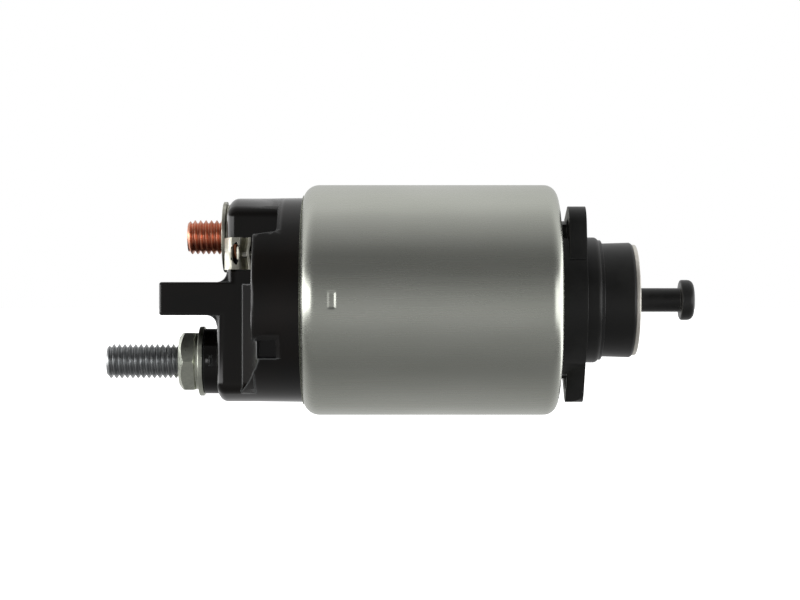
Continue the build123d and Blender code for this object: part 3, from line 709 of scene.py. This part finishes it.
# %% A screw from the tree
def cleaned(piece, z=0.0):
    """Close tiny gaps, turn every face outwards and put the piece on its own axis."""
    bm = bmesh.new()
    bm.from_mesh(piece.data)
    bmesh.ops.remove_doubles(bm, verts=bm.verts, dist=1.5e-6)
    bmesh.ops.dissolve_degenerate(bm, dist=1e-7, edges=bm.edges)
    bmesh.ops.translate(bm, verts=bm.verts, vec=(0, 0, z * MM))
    bmesh.ops.recalc_face_normals(bm, faces=bm.faces)
    bm.to_mesh(piece.data)
    bm.free()
    return piece


THREAD_R, THREAD_DEPTH, CHAMFER, ROWS_PER_TURN = 3.93, 0.72, 0.7, 12


def screw(name, tip_x, root_x, z, material):
    """A threaded rod between two planes, in millimetres."""
    rows = int((root_x - tip_x) / THREAD_PITCH + 4) * ROWS_PER_TURN + 1
    rod = grow(name, THREAD, Tip_X=tip_x * MM, Root_X=root_x * MM, Radius=THREAD_R * MM,
               Pitch=THREAD_PITCH * MM, Depth=THREAD_DEPTH * MM, Chamfer=CHAMFER * MM, Rows=rows,
               Rows_per_turn=ROWS_PER_TURN, Columns=73, Material=material)
    return soften(cleaned(rod, z=z), 28)


# %% Both studs
SHANK_R = 3.6  # the blank of a rolled thread is as thick as the middle of its flanks


def contact_head(name, z):
    """Rectangular contact head in the chamber, with its corners rounded."""
    x0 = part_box("battery_stud")[1].x / MM - 3.5
    side = 1 if z > 0 else -1
    corners = []
    for y_sign, z_sign, first in ((1, 1, 0), (-1, 1, 90), (-1, -1, 180), (1, -1, 270)):
        centre = Vector((4.0 * y_sign, side * 13.45 + 3.25 * z_sign))
        corners += [centre + polar(1.5, first + 15 * k) for k in range(7)]
    return plate_from_outlines(name, [corners], x0, x0 + 3.5, 0.3)


# %% Build and place the studs
def build_stud(name, node, seat_x, z, finish):
    """Threaded end, plain shank through the cap and contact head."""
    tip_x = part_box(node)[0].x / MM
    thread = screw(name, tip_x, seat_x + 0.6, z, finish)
    shank = soften(spin(name + "_shank", rounded([
        (seat_x + 0.3, 0), (seat_x + 0.3, SHANK_R), (-68.4, SHANK_R), (-68.4, 0),
    ]), z=z), 30)
    head = soften(contact_head(name + "_head", z), 30)
    return join(thread, shank, head)


NUT_X0, NUT_X1, _ = span("battery_nut")
LUG_X0 = span("motor_lug")[0]
battery = build_stud("battery_stud_threaded", "battery_stud", NUT_X0, BATTERY_Z, FINISH["zinc_steel"])
dress(battery, "housing", "zinc_steel", "battery_stud")
motor = build_stud("motor_stud_threaded", "motor_stud", LUG_X0, MOTOR_Z, FINISH["copper"])
dress(motor, "housing", "copper", "motor_stud")
print("stud faces:", len(battery.data.polygons), len(motor.data.polygons))

# %% [markdown]
# ## Nut and washers
# The nut's outer side is turned to a cone, which leaves an arc on each flat. Working out where the cone meets
# the six flats for many angles draws those arcs exactly, with no boolean.

# %% Nut
def hexagon_reach(angle, flats):
    """Distance from the axis to a hexagon's side at an angle; its corners point along +Y and -Y."""
    turned = math.degrees(angle) % 60 - 30
    return flats / 2 / math.cos(math.radians(turned))


def build_nut():
    """Bore, flat ring, cone that leaves arcs on the flats, six sides and the lower chamfer."""
    flats, seat_r, slope = 13.0, 5.6, 0.75
    mesh = bpy.data.meshes.new("hex_nut")
    bm = bmesh.new()
    rings = []
    for a in full_turn(144):
        reach = hexagon_reach(a, flats)
        low = min(reach, flats / 2 / math.cos(math.radians(30)) - 0.35)
        outline = [
            (NUT_X0 + 0.55, SHANK_R + 0.02), (NUT_X0 + 0.02, 4.2), (NUT_X0, 4.25), (NUT_X0, seat_r),
            (NUT_X0 + (reach - seat_r) * slope, reach), (NUT_X1 - (reach - low) - 0.12, reach),
            (NUT_X1 - 0.1, low - 0.02), (NUT_X1, low - 0.15), (NUT_X1, 4.3), (NUT_X1 - 0.7, SHANK_R + 0.02),
        ]
        rings.append([bm.verts.new((x * MM, r * math.cos(a) * MM, (BATTERY_Z + r * math.sin(a)) * MM))
                      for x, r in outline])
    bridge(bm, rings)
    bmesh.ops.remove_doubles(bm, verts=bm.verts, dist=1e-7)
    bmesh.ops.recalc_face_normals(bm, faces=bm.faces)
    bm.to_mesh(mesh)
    bm.free()
    nut = soften(placed("hex_nut", mesh), 18)
    bevel = nut.modifiers.new("edges", "BEVEL")
    bevel.width = 0.09 * MM
    bevel.segments = 2
    bevel.limit_method = "ANGLE"
    bevel.angle_limit = math.radians(24)
    bevel.harden_normals = True
    return nut


# %% Washers
def washer(name, node, bore, edge):
    """A punched washer: the top edge is rounded by the punch."""
    x0, x1, radius = span(node)
    return soften(spin(name, rounded([
        (x0, bore), (x0, radius, edge), (x1, radius, edge / 2), (x1, bore),
    ], 3), z=height(node)), 30)


def build_lock_washer():
    """Lock washer, drawn as a closed ring: its split isn't shown."""
    x0, x1, radius = span("lock_washer")
    angles = [math.radians(3 + 354 * k / 119) for k in range(120)]
    ring = spin("split_lock_washer", rounded([(x0, 4.1), (x0, radius, 0.15), (x1, radius, 0.15), (x1, 4.1)], 3),
                angles, z=BATTERY_Z)
    return soften(ring, 30)


# %% Nut and washers in place
dress(build_nut(), "housing", "nut_plating", "battery_nut")
dress(washer("plain_washer", "flat_washer", 4.2, 0.25), "housing", "nut_plating", "flat_washer")
dress(build_lock_washer(), "housing", "nut_plating", "lock_washer")
dress(washer("round_lug", "motor_lug", 4.1, 0.2), "housing", "tinned_steel", "motor_lug")
print("nut from", round(NUT_X0, 1), "to", round(NUT_X1, 1), "mm")

# %% [markdown]
# ## The folded tab
# The coil's lead is caught in a plated strap that starts under the lug, bends round the cap's bar and folds
# over the wire. A lens-shaped eye is punched in the front fold, and the copper shows in it. The strap is a
# ribbon: one path seen from above, drawn out in height, and given its thickness by Solidify.

# %% The folded tab
FRONT_Y = -15.2  # the fold that faces forwards
STRAP_PATH = ((-81.2, -3.2), (-81.2, -9.6, 2.0), (-79.85, -13.0, 1.0), (-79.85, FRONT_Y, 0.75),
              (-77.35, FRONT_Y, 0.7), (-76.75, -13.0, 0.9), (-75.3, -12.3, 0.5), (-75.3, FRONT_Y))
STRAP_T, STRAP_Z0, STRAP_Z1 = 0.55, 6.8, 14.0
STRAP_ROWS = 49
EYE_Z, EYE_HIGH = 10.4, 2.55  # middle and half height of the eye
EYE_LEFT, EYE_RIGHT = 1.15, 0.7  # how far its two sides bow apart


def strap_points():
    """The strap's middle line from above, rounded and cut into short runs."""
    path = rounded(STRAP_PATH, 7)
    out = []
    for a, b in zip(path, path[1:]):
        count = max(1, round((b - a).length / 0.25))
        out += [a.lerp(b, k / count) for k in range(count)]
    return out + [path[-1]]


def bowed(line, front, split, i, lens):
    """How far a column beside the eye moves, so that the columns crowd towards its edge."""
    if i not in front:
        return 0.0
    if i <= split:
        share = (line[i].x - line[front[0]].x) / (line[split].x - line[front[0]].x)
        return -EYE_LEFT * lens ** 0.8 * share
    share = (line[front[-1]].x - line[i].x) / (line[front[-1]].x - line[split + 1].x)
    return EYE_RIGHT * lens ** 1.5 * share


# %% Fold the strap
def strap_height(k):
    """Height of a row, or between two rows, in millimetres."""
    return STRAP_Z0 + (STRAP_Z1 - STRAP_Z0) * k / (STRAP_ROWS - 1)


def build_strap(line):
    """Ribbon of columns along the path; the eye opens between two columns that bow apart."""
    front = [i for i, p in enumerate(line) if abs(p.y - FRONT_Y) < 0.02 and p.x < -77.5]
    split = front[len(front) // 2]
    mesh = bpy.data.meshes.new("folded_tab")
    bm = bmesh.new()
    columns = []
    for i, p in enumerate(line):
        column = []
        for z in map(strap_height, range(STRAP_ROWS)):
            lens = max(0.0, 1 - ((z - EYE_Z) / EYE_HIGH) ** 2)
            # the hammered fold is hollow in the middle of its free edge
            hollow = 0.45 * math.exp(-((z - 10.6) / 1.8) ** 2) * max(0.0, min(1.0, (p.x + 78.4) / 1.2))
            x = p.x + bowed(line, front, split, i, lens) - hollow
            column.append(bm.verts.new((x * MM, p.y * MM, z * MM)))
        columns.append(column)
    for i, (near, far) in enumerate(zip(columns, columns[1:])):
        for k in range(STRAP_ROWS - 1):
            if i == split and abs(strap_height(k + 0.5) - EYE_Z) < EYE_HIGH:
                continue
            bm.faces.new((near[k], far[k], far[k + 1], near[k + 1]))
    bm.to_mesh(mesh)
    bm.free()
    return placed("folded_tab", mesh)


# %% The tab with its thickness and its seat
def build_tab():
    """The strap made thick, and the ring that sits under the lug."""
    tab = build_strap(strap_points())
    solid = tab.modifiers.new("thickness", "SOLIDIFY")
    solid.thickness = STRAP_T * MM
    solid.offset = 0
    tab.data = evaluated(tab)
    tab.modifiers.clear()
    seat = plate_from_outlines("tab_seat", [circle(7.4, 64, MOTOR_Z), circle(4.1, 48, MOTOR_Z)],
                               STRAP_PATH[0][0] - STRAP_T / 2, STRAP_PATH[0][0] + STRAP_T / 2, 0.12)
    return soften(join(cleaned(tab), seat), 40)


tab = dress(build_tab(), "housing", "tinned_steel", "coil_tab")
print("tab:", len(tab.data.polygons), "faces")

# %% [markdown]
# ## Wires
# A bevelled curve is the natural way to make a wire. The coil's copper end comes straight out of the cap into
# the tab, where it is bent up a little and cut, so its bright end shows in the eye.

# %% Wires
def wire(name, points, radius):
    """A round wire through some points, in millimetres, as a mesh."""
    curve = bpy.data.curves.new(name, "CURVE")
    curve.dimensions = "3D"
    curve.bevel_depth = radius * MM
    curve.bevel_resolution = 6
    curve.use_fill_caps = True
    spline = curve.splines.new("NURBS")
    spline.points.add(len(points) - 1)
    for knot, point in zip(spline.points, points):
        knot.co = (*(c * MM for c in point), 1)
    spline.order_u = 3
    spline.use_endpoint_u = True
    line = placed(name, curve)
    mesh = evaluated(line)
    bpy.data.objects.remove(line)
    return soften(placed(name, mesh), 40)


# %% The lead
lead_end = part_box("coil_lead")
lead_y, lead_z = (lead_end[0].y + lead_end[1].y) / 2 / MM, height("coil_lead")
lead = wire("coil_wire_end", [(lead_end[1].x / MM, lead_y, lead_z), (-76.5, lead_y, lead_z),
                              (-77.8, lead_y - 0.1, lead_z - 0.7), (-78.85, lead_y - 0.4, lead_z - 0.2),
                              (-78.8, lead_y - 0.5, lead_z + 2.1)], 0.75)
dress(lead, "housing", "copper_winding", "coil_lead", material=DIPPED_WIRE)
print("coil lead at", round(lead_y, 1), round(lead_z, 1), "mm")

# %% [markdown]
# ## The spade terminal
# A 6.3 mm spade is stamped from 0.8 mm strip with a hole for the receptacle's latch and a tapered tip.

# %% The spade terminal
def build_blade():
    """Flat outline with a hole, laid in the XZ plane."""
    low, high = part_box("switch_blade")
    x0, x1, half = low.x / MM, high.x / MM, (high.z - low.z) / 2 / MM
    outline = [Vector(p) for p in ((x0, -half + 1.3), (x0 + 1.4, -half), (x1, -half), (x1, half),
                                   (x0 + 1.4, half), (x0, half - 1.3))]
    hole = [Vector((x0 + 3.4, 0)) + polar(0.85, 15 * k) for k in range(24)]
    blade = plate_from_outlines("spade_blade", [outline, hole], -0.4, 0.4, 0.12)
    middle = (low.y + high.y) / 2
    # the helper lays an outline across X; here its first axis runs along X and the thickness across Y
    blade.data.transform(Matrix(((0, 1, 0, 0), (1, 0, 0, middle), (0, 0, 1, 0), (0, 0, 0, 1))))
    blade.data.flip_normals()
    return soften(blade, 30)


blade = dress(build_blade(), "housing", "tinned_steel", "switch_blade")
print("blade:", len(blade.data.polygons), "faces")

# %% [markdown]
# ## Springs and windings by Geometry Nodes
# Springs and windings are both a circle carried along a helix. The Spiral curve node gives the helix, Curve
# to Mesh carries the wire's section along it, and a rotation lays it along X. For a winding the wire simply
# touches itself.

# %% Coiled wire
def coil_tree():
    """A round wire wound about the X axis from Start X."""
    tree = Tree("wound_wire", {
        "Start X": "NodeSocketFloat", "Length": "NodeSocketFloat", "Mean radius": "NodeSocketFloat",
        "Wire radius": "NodeSocketFloat", "Turns": "NodeSocketFloat", "Steps per turn": "NodeSocketInt",
        "Sides": "NodeSocketInt", "Material": "NodeSocketMaterial",
    })
    helix = tree.add("GeometryNodeCurveSpiral", Resolution=tree.given("Steps per turn"),
                     Rotations=tree.given("Turns"), Start_Radius=tree.given("Mean radius"),
                     End_Radius=tree.given("Mean radius"), Height=tree.given("Length"))
    section = tree.add("GeometryNodeCurvePrimitiveCircle", Resolution=tree.given("Sides"),
                       Radius=tree.given("Wire radius"))
    swept = tree.add("GeometryNodeCurveToMesh", Curve=helix.outputs[0], Profile_Curve=section.outputs[0],
                     Fill_Caps=True)
    offset = tree.add("ShaderNodeCombineXYZ", X=tree.given("Start X"))
    laid = tree.add("GeometryNodeTransform", Geometry=swept.outputs[0], Translation=offset.outputs[0],
                    Rotation=(0.0, math.pi / 2, 0.0))
    return tree.finish(laid.outputs[0])


COIL = coil_tree()


# %% A coil in its twin's box
def coiled(name, node, wire_r, turns, finish, steps=40, sides=10):
    """A coil that fills its CAD twin's box."""
    x0, x1, radius = span(node)
    coil = grow(name, COIL, Start_X=(x0 + wire_r) * MM, Length=(x1 - x0 - 2 * wire_r) * MM,
                Mean_radius=(radius - wire_r) * MM, Wire_radius=wire_r * MM, Turns=turns, Steps_per_turn=steps,
                Sides=sides, Material=finish)
    return soften(cleaned(coil), 60)


# %% Springs
# name, CAD twin, joint, body, wire radius, turns, fixed end along X, share of the length kept
SPRINGS = (
    ("plunger_spring", "return_spring", "plunger_slide", "housing", 0.75, 5.5, -42.65, 14.6 / 24.6),
    ("pin_spring", "engagement_spring", "pin_slide", "plunger", 1.0, 6.5, 10.35, 13.7 / 21.7),
    ("contact_opening_spring", "contact_return_spring", "contact_slide", "housing", 0.45, 4.0, -73.95,
     5.7 / 8.75),
)
for name, node, joint, body, wire_r, turns, fixed_x, keep in SPRINGS:
    spring = coiled(name, node, wire_r, turns, FINISH["spring_steel"])
    dress(spring, body, "spring_steel", node)
    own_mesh(spring)
pressure = coiled("contact_pressure_spring", "contact_spring", 0.5, 5.0, FINISH["spring_steel"])
dress(pressure, "contacts", "spring_steel", "contact_spring")

# %% Windings
for name, node, wire_r in (("pull_in_coil", "pull_in_winding", 0.9), ("hold_in_coil", "hold_in_winding", 0.6)):
    x0, x1, radius = span(node)
    outer = coiled(name, node, wire_r, (x1 - x0) / (2 * wire_r) - 1, FINISH["copper_winding"], 64, 8)
    inner_r = 15.25 if node == "pull_in_winding" else 19.05
    base = spin(name + "_layers", [Vector(p) for p in ((x0 + 0.1, inner_r), (x0 + 0.1, radius - wire_r),
                                                       (x1 - 0.1, radius - wire_r), (x1 - 0.1, inner_r))])
    dress(join(outer, soften(base, 30)), "housing", "copper_winding", node)
print("springs:", len(SPRINGS) + 1, "windings: 2")

# %% [markdown]
# ## Pieces that keep their CAD shape
# The rest sits inside: core, plate, bobbin, rod, disc, insulators, seals. Their CAD shapes are right, so they
# stay and only get the finish of their material slot. The metal and black finishes also round the light at
# their edges.

# %% Carried-over pieces
SLOT_OF = {entry["node"]: entry["material_slot"] for entry in frame["record"]["subparts"]}
kept = 0
for node, shown in NODES.items():
    if shown.hide_render:
        continue
    shown.data.materials.clear()
    shown.data.materials.append(FINISH[SLOT_OF[node]])
    kept += 1
print("carried over:", kept)

# %% [markdown]
# ## Studio
# A picture of shiny metal is mostly a picture of what surrounds it, so the room is the real material of the
# can. A light tent has no sharp lamps: it is white behind, dim above the camera, a little brighter at the
# camera's height, and has a bright panel at each end. All of that is one sky whose brightness depends on the
# direction, which is free of noise and easy to tune, and the floor is a pale sheet that only closes the view
# below.

# %% Floor
def stage_floor():
    """A wide pale floor just under the can."""
    mesh = bpy.data.meshes.new("floor")
    size, level = 6.0, -0.030
    corners = ((-size, -size), (size, -size), (size, size), (-size, size))
    mesh.from_pydata([(x, y, level) for x, y in corners], [], [(0, 1, 2, 3)])
    floor = placed("floor", mesh)
    material, _, shader = blank("pale_floor", (0.9, 0.9, 0.9), 0.0, 0.9)
    shader.inputs["Emission Color"].default_value = (1, 1, 1, 1)
    shader.inputs["Emission Strength"].default_value = 1.0
    mesh.materials.append(material)
    # the sky already holds the light that a floor would throw back
    floor.visible_diffuse = floor.visible_glossy = floor.visible_shadow = False


stage_floor()

# %% The light tent
# brightness round the can's axis: 0 is the camera's side, 90 straight up, 180 behind, -90 straight down
ROUND_THE_AXIS = (
    (-180, 0.72), (-155, 0.61), (-130, 0.44), (-110, 0.36), (-88, 0.27), (-68, 0.22), (-50, 0.26),
    (-32, 0.31), (-14, 0.395), (0, 0.33), (16, 0.215), (30, 0.147), (45, 0.15), (58, 0.24), (75, 0.39),
    (90, 0.51), (102, 0.67), (118, 0.73), (140, 0.70), (160, 0.67), (180, 0.72),
)


RIGHT_PANEL, LEFT_PANEL = 1.6, 3.4


# %% A soft window on the sky's direction
def window(tree, value, outer, inner):
    """0 at the outer value and 1 at the inner one, with a soft edge."""
    level = ramp(tree, value, 0, 1, outer, inner)
    level.node.interpolation_type = "SMOOTHSTEP"
    return level


# %% The two parts of the sky
def tent_level(tree, y, z):
    """Brightness by the angle round the can's axis."""
    around = calc(tree, "ARCTAN2", z, calc(tree, "MULTIPLY", y, -1.0))
    share = calc(tree, "ADD", calc(tree, "DIVIDE", around, 2 * math.pi), 0.5)
    curve = tree.nodes.new("ShaderNodeFloatCurve")
    points = curve.mapping.curves[0].points
    places = [((angle + 180) / 360, level) for angle, level in ROUND_THE_AXIS]
    points[0].location, points[1].location = places[0], places[-1]
    for place in places[1:-1]:
        points.new(*place)
    curve.mapping.update()
    tree.links.new(share, curve.inputs["Value"])
    return curve.outputs[0]


def end_panels(tree, x, z):
    """A bright panel at each end; the left one is stronger."""
    off_right = calc(tree, "ABSOLUTE", calc(tree, "ADD", z, 0.02))
    right = calc(tree, "MULTIPLY", window(tree, x, 0.5, 0.7), window(tree, off_right, 0.34, 0.2))
    off_left = calc(tree, "ABSOLUTE", calc(tree, "SUBTRACT", z, 0.04))
    leftwards = calc(tree, "MULTIPLY", x, -1.0)
    left = calc(tree, "MULTIPLY", window(tree, leftwards, 0.5, 0.62), window(tree, off_left, 0.24, 0.08))
    right, left = calc(tree, "MULTIPLY", right, RIGHT_PANEL), calc(tree, "MULTIPLY", left, LEFT_PANEL)
    return calc(tree, "ADD", right, left)


# %% The sky
def light_tent():
    """A sky that is brighter behind and at both ends, and plain white to the camera."""
    world = bpy.data.worlds.new("light_tent")
    world.use_nodes = True
    tree = world.node_tree
    add, link = tree.nodes.new, tree.links.new
    where = add("ShaderNodeSeparateXYZ")
    link(add("ShaderNodeTexCoord").outputs["Generated"], where.inputs[0])
    x, y, z = where.outputs
    total = calc(tree, "ADD", tent_level(tree, y, z), end_panels(tree, x, z))
    seen = add("ShaderNodeMix")
    link(add("ShaderNodeLightPath").outputs["Is Camera Ray"], seen.inputs["Factor"])
    link(total, seen.inputs["A"])
    seen.inputs["B"].default_value = 1.0
    back = tree.nodes["Background"]
    back.inputs["Color"].default_value = (1, 1, 1, 1)
    link(seen.outputs["Result"], back.inputs["Strength"])
    bpy.context.scene.world = world


light_tent()
bpy.context.scene.view_settings.view_transform = "Standard"

# %% [markdown]
# ## Camera
# The view is square on to the side, level with the axis, from a little under half a metre, so that near edges
# swell slightly. The lens follows from the distance and the width of the picture that the part should fill.

# %% Camera
DISTANCE, PICTURE_WIDTH, MIDDLE_X = 0.45, 0.18476, -0.0418  # metres
SENSOR = 36
camera_data = bpy.data.cameras.new("camera")
camera_data.sensor_width = SENSOR
camera_data.lens = SENSOR * DISTANCE / PICTURE_WIDTH
camera = placed("camera", camera_data)
camera.location = (MIDDLE_X, -DISTANCE, 0)
camera.rotation_euler = (math.pi / 2, 0, 0)
bpy.context.scene.camera = camera
print("lens:", round(camera_data.lens, 1), "mm")
